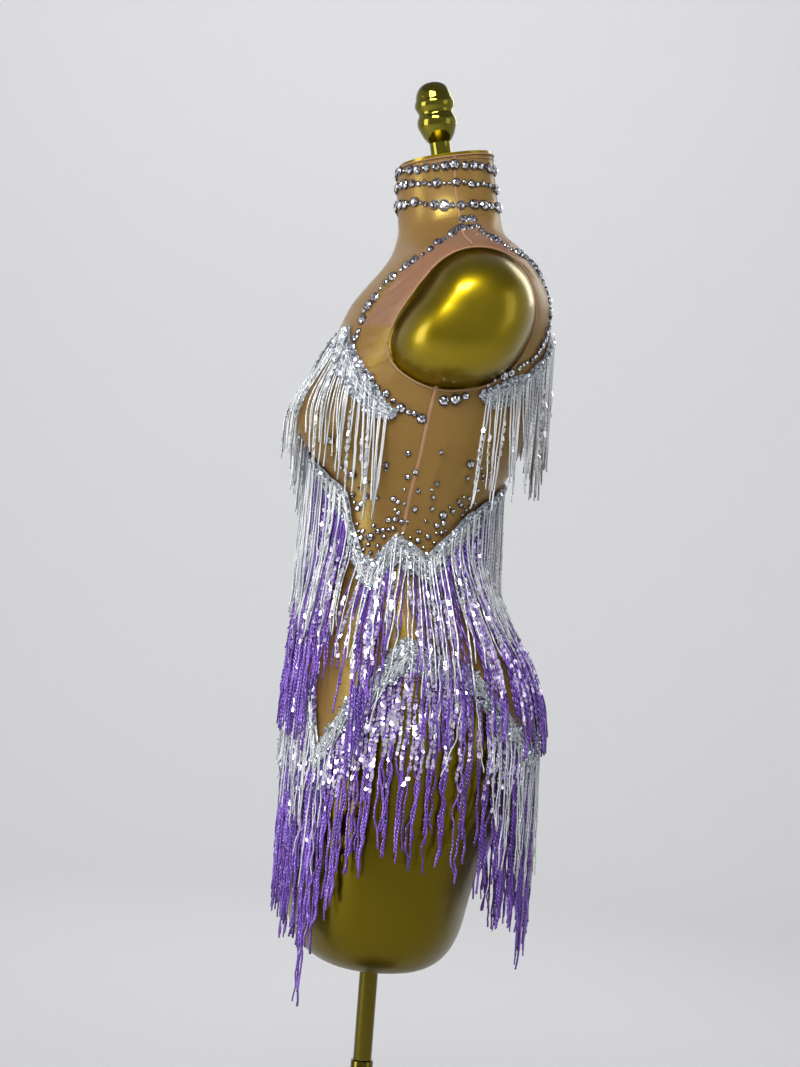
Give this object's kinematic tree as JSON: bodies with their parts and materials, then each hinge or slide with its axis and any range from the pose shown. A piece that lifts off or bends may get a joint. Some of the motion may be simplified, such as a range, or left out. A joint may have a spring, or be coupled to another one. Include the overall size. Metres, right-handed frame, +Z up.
{
  "type": "fringe dance dress on a limbless dress form stand",
  "caption": "Nude mesh dance dress with a high collar and tiers of silver and purple fringe, on a gold limbless dress form with a pole and a round foot.",
  "frame": {"origin": "centre of the bounding box in plan, on the floor under the round foot", "axes": "+Z up along the pole, -Y the front of the dress, +X the wearer's left"},
  "size_m": [0.384, 0.35, 1.5646],
  "materials": {
    "form_gold": "gold chrome plating",
    "stand_gold": "polished gold",
    "nude_mesh": "sheer stretch mesh",
    "silver_fringe": "shiny fringe under a sequin band",
    "purple_fringe": "shiny fringe"
  },
  "bodies": {
    "root": {"form_torso": "form_gold", "finial": "stand_gold", "pole_upper": "stand_gold", "pole_ferrule": "stand_gold", "pole_lower": "stand_gold", "base_plate": "stand_gold", "bodice_front": "nude_mesh", "bodice_back_left": "nude_mesh", "bodice_back_right": "nude_mesh", "bust_fringe_left": "silver_fringe", "bust_fringe_right": "silver_fringe", "back_fringe_left": "silver_fringe", "back_fringe_right": "silver_fringe", "waist_fringe_silver": "silver_fringe", "hip_fringe_silver": "silver_fringe", "waist_fringe_purple": "purple_fringe", "hip_fringe_purple": "purple_fringe"}
  },
  "joints": []
}
